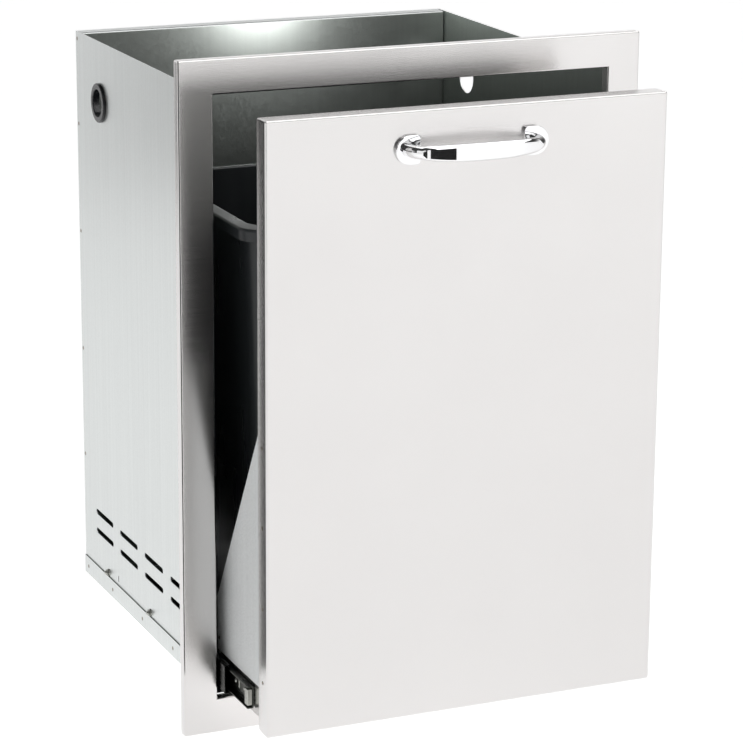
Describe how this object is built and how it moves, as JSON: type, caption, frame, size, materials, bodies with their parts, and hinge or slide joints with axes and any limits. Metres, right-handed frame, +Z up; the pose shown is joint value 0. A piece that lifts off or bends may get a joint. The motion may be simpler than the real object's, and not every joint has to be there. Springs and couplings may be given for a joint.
{
  "type": "built-in pull-out waste bin drawer",
  "caption": "Stainless pull-out waste drawer for an outdoor kitchen island: open-topped cabinet, face frame, slide-out front with bow handle, and a lift-out plastic bin.",
  "frame": {"origin": "on the rear seating lip of the face frame, at the middle of the bottom rail, in the plane that bears on the island", "axes": "+Z up, +Y into the island towards the back of the cabinet, +X to the right as seen from the front"},
  "size_m": [0.508, 0.5991, 0.705],
  "materials": {
    "stainless": "No. 4 brushed stainless, fine vertical grain",
    "galvanised": "galvanised sheet, matt with a fine spangle",
    "slide_steel": "zinc-plated, smooth",
    "chrome": "polished chrome plate",
    "bin_plastic": "black moulded polypropylene, semi-gloss",
    "bush_rubber": "black moulded"
  },
  "bodies": {
    "cabinet": {"face_frame": "stainless", "left_wall": "galvanised", "right_wall": "galvanised", "back_panel": "galvanised", "base_pan": "galvanised", "hose_bush": "bush_rubber", "slide_outer_left": "slide_steel", "slide_outer_right": "slide_steel", "slide_bolt_left_front": "slide_steel", "slide_bolt_left_middle": "slide_steel", "slide_bolt_left_rear": "slide_steel", "slide_bolt_right_front": "slide_steel", "slide_bolt_right_middle": "slide_steel", "slide_bolt_right_rear": "slide_steel"},
    "drawer": {"drawer_front_skin": "stainless", "drawer_front_liner": "stainless", "drawer_tray": "stainless", "bin_stop": "galvanised", "handle_bar": "chrome", "gusset_left": "galvanised", "slide_inner_left": "slide_steel", "handle_rosette_left": "chrome", "handle_screw_left": "slide_steel", "gusset_right": "galvanised", "slide_inner_right": "slide_steel", "handle_rosette_right": "chrome", "handle_screw_right": "slide_steel", "tray_screw_left_front": "slide_steel", "tray_screw_left_rear": "slide_steel", "tray_screw_right_front": "slide_steel", "tray_screw_right_rear": "slide_steel"},
    "bin": {"waste_bin": "bin_plastic"},
    "slide_middle_left": {"slide_middle_left": "slide_steel"},
    "ball_cage_outer_left": {"ball_cage_outer_left": "slide_steel"},
    "ball_cage_inner_left": {"ball_cage_inner_left": "slide_steel"},
    "slide_middle_right": {"slide_middle_right": "slide_steel"},
    "ball_cage_outer_right": {"ball_cage_outer_right": "slide_steel"},
    "ball_cage_inner_right": {"ball_cage_inner_right": "slide_steel"}
  },
  "joints": [
    {"name": "drawer_slide", "type": "slide", "parent": "cabinet", "child": "drawer", "axis": [0, -1, 0], "range_m": [-0.133, 0.217]},
    {"name": "slide_middle_left_slide", "type": "slide", "parent": "cabinet", "child": "slide_middle_left", "axis": [0, -1, 0], "range_m": [-0.0665, 0.1085]},
    {"name": "ball_cage_outer_left_slide", "type": "slide", "parent": "cabinet", "child": "ball_cage_outer_left", "axis": [0, -1, 0], "range_m": [-0.03325, 0.05425]},
    {"name": "ball_cage_inner_left_slide", "type": "slide", "parent": "cabinet", "child": "ball_cage_inner_left", "axis": [0, -1, 0], "range_m": [-0.09975, 0.16275]},
    {"name": "slide_middle_right_slide", "type": "slide", "parent": "cabinet", "child": "slide_middle_right", "axis": [0, -1, 0], "range_m": [-0.0665, 0.1085]},
    {"name": "ball_cage_outer_right_slide", "type": "slide", "parent": "cabinet", "child": "ball_cage_outer_right", "axis": [0, -1, 0], "range_m": [-0.03325, 0.05425]},
    {"name": "ball_cage_inner_right_slide", "type": "slide", "parent": "cabinet", "child": "ball_cage_inner_right", "axis": [0, -1, 0], "range_m": [-0.09975, 0.16275]},
    {"name": "bin_lift", "type": "slide", "parent": "drawer", "child": "bin", "axis": [0, 0, 1], "range_m": [0, 0.12]}
  ],
  "couplings": [
    {"joint": "slide_middle_left_slide", "follows": "drawer_slide", "ratio": 0.5},
    {"joint": "ball_cage_outer_left_slide", "follows": "drawer_slide", "ratio": 0.25},
    {"joint": "ball_cage_inner_left_slide", "follows": "drawer_slide", "ratio": 0.75},
    {"joint": "slide_middle_right_slide", "follows": "drawer_slide", "ratio": 0.5},
    {"joint": "ball_cage_outer_right_slide", "follows": "drawer_slide", "ratio": 0.25},
    {"joint": "ball_cage_inner_right_slide", "follows": "drawer_slide", "ratio": 0.75}
  ]
}
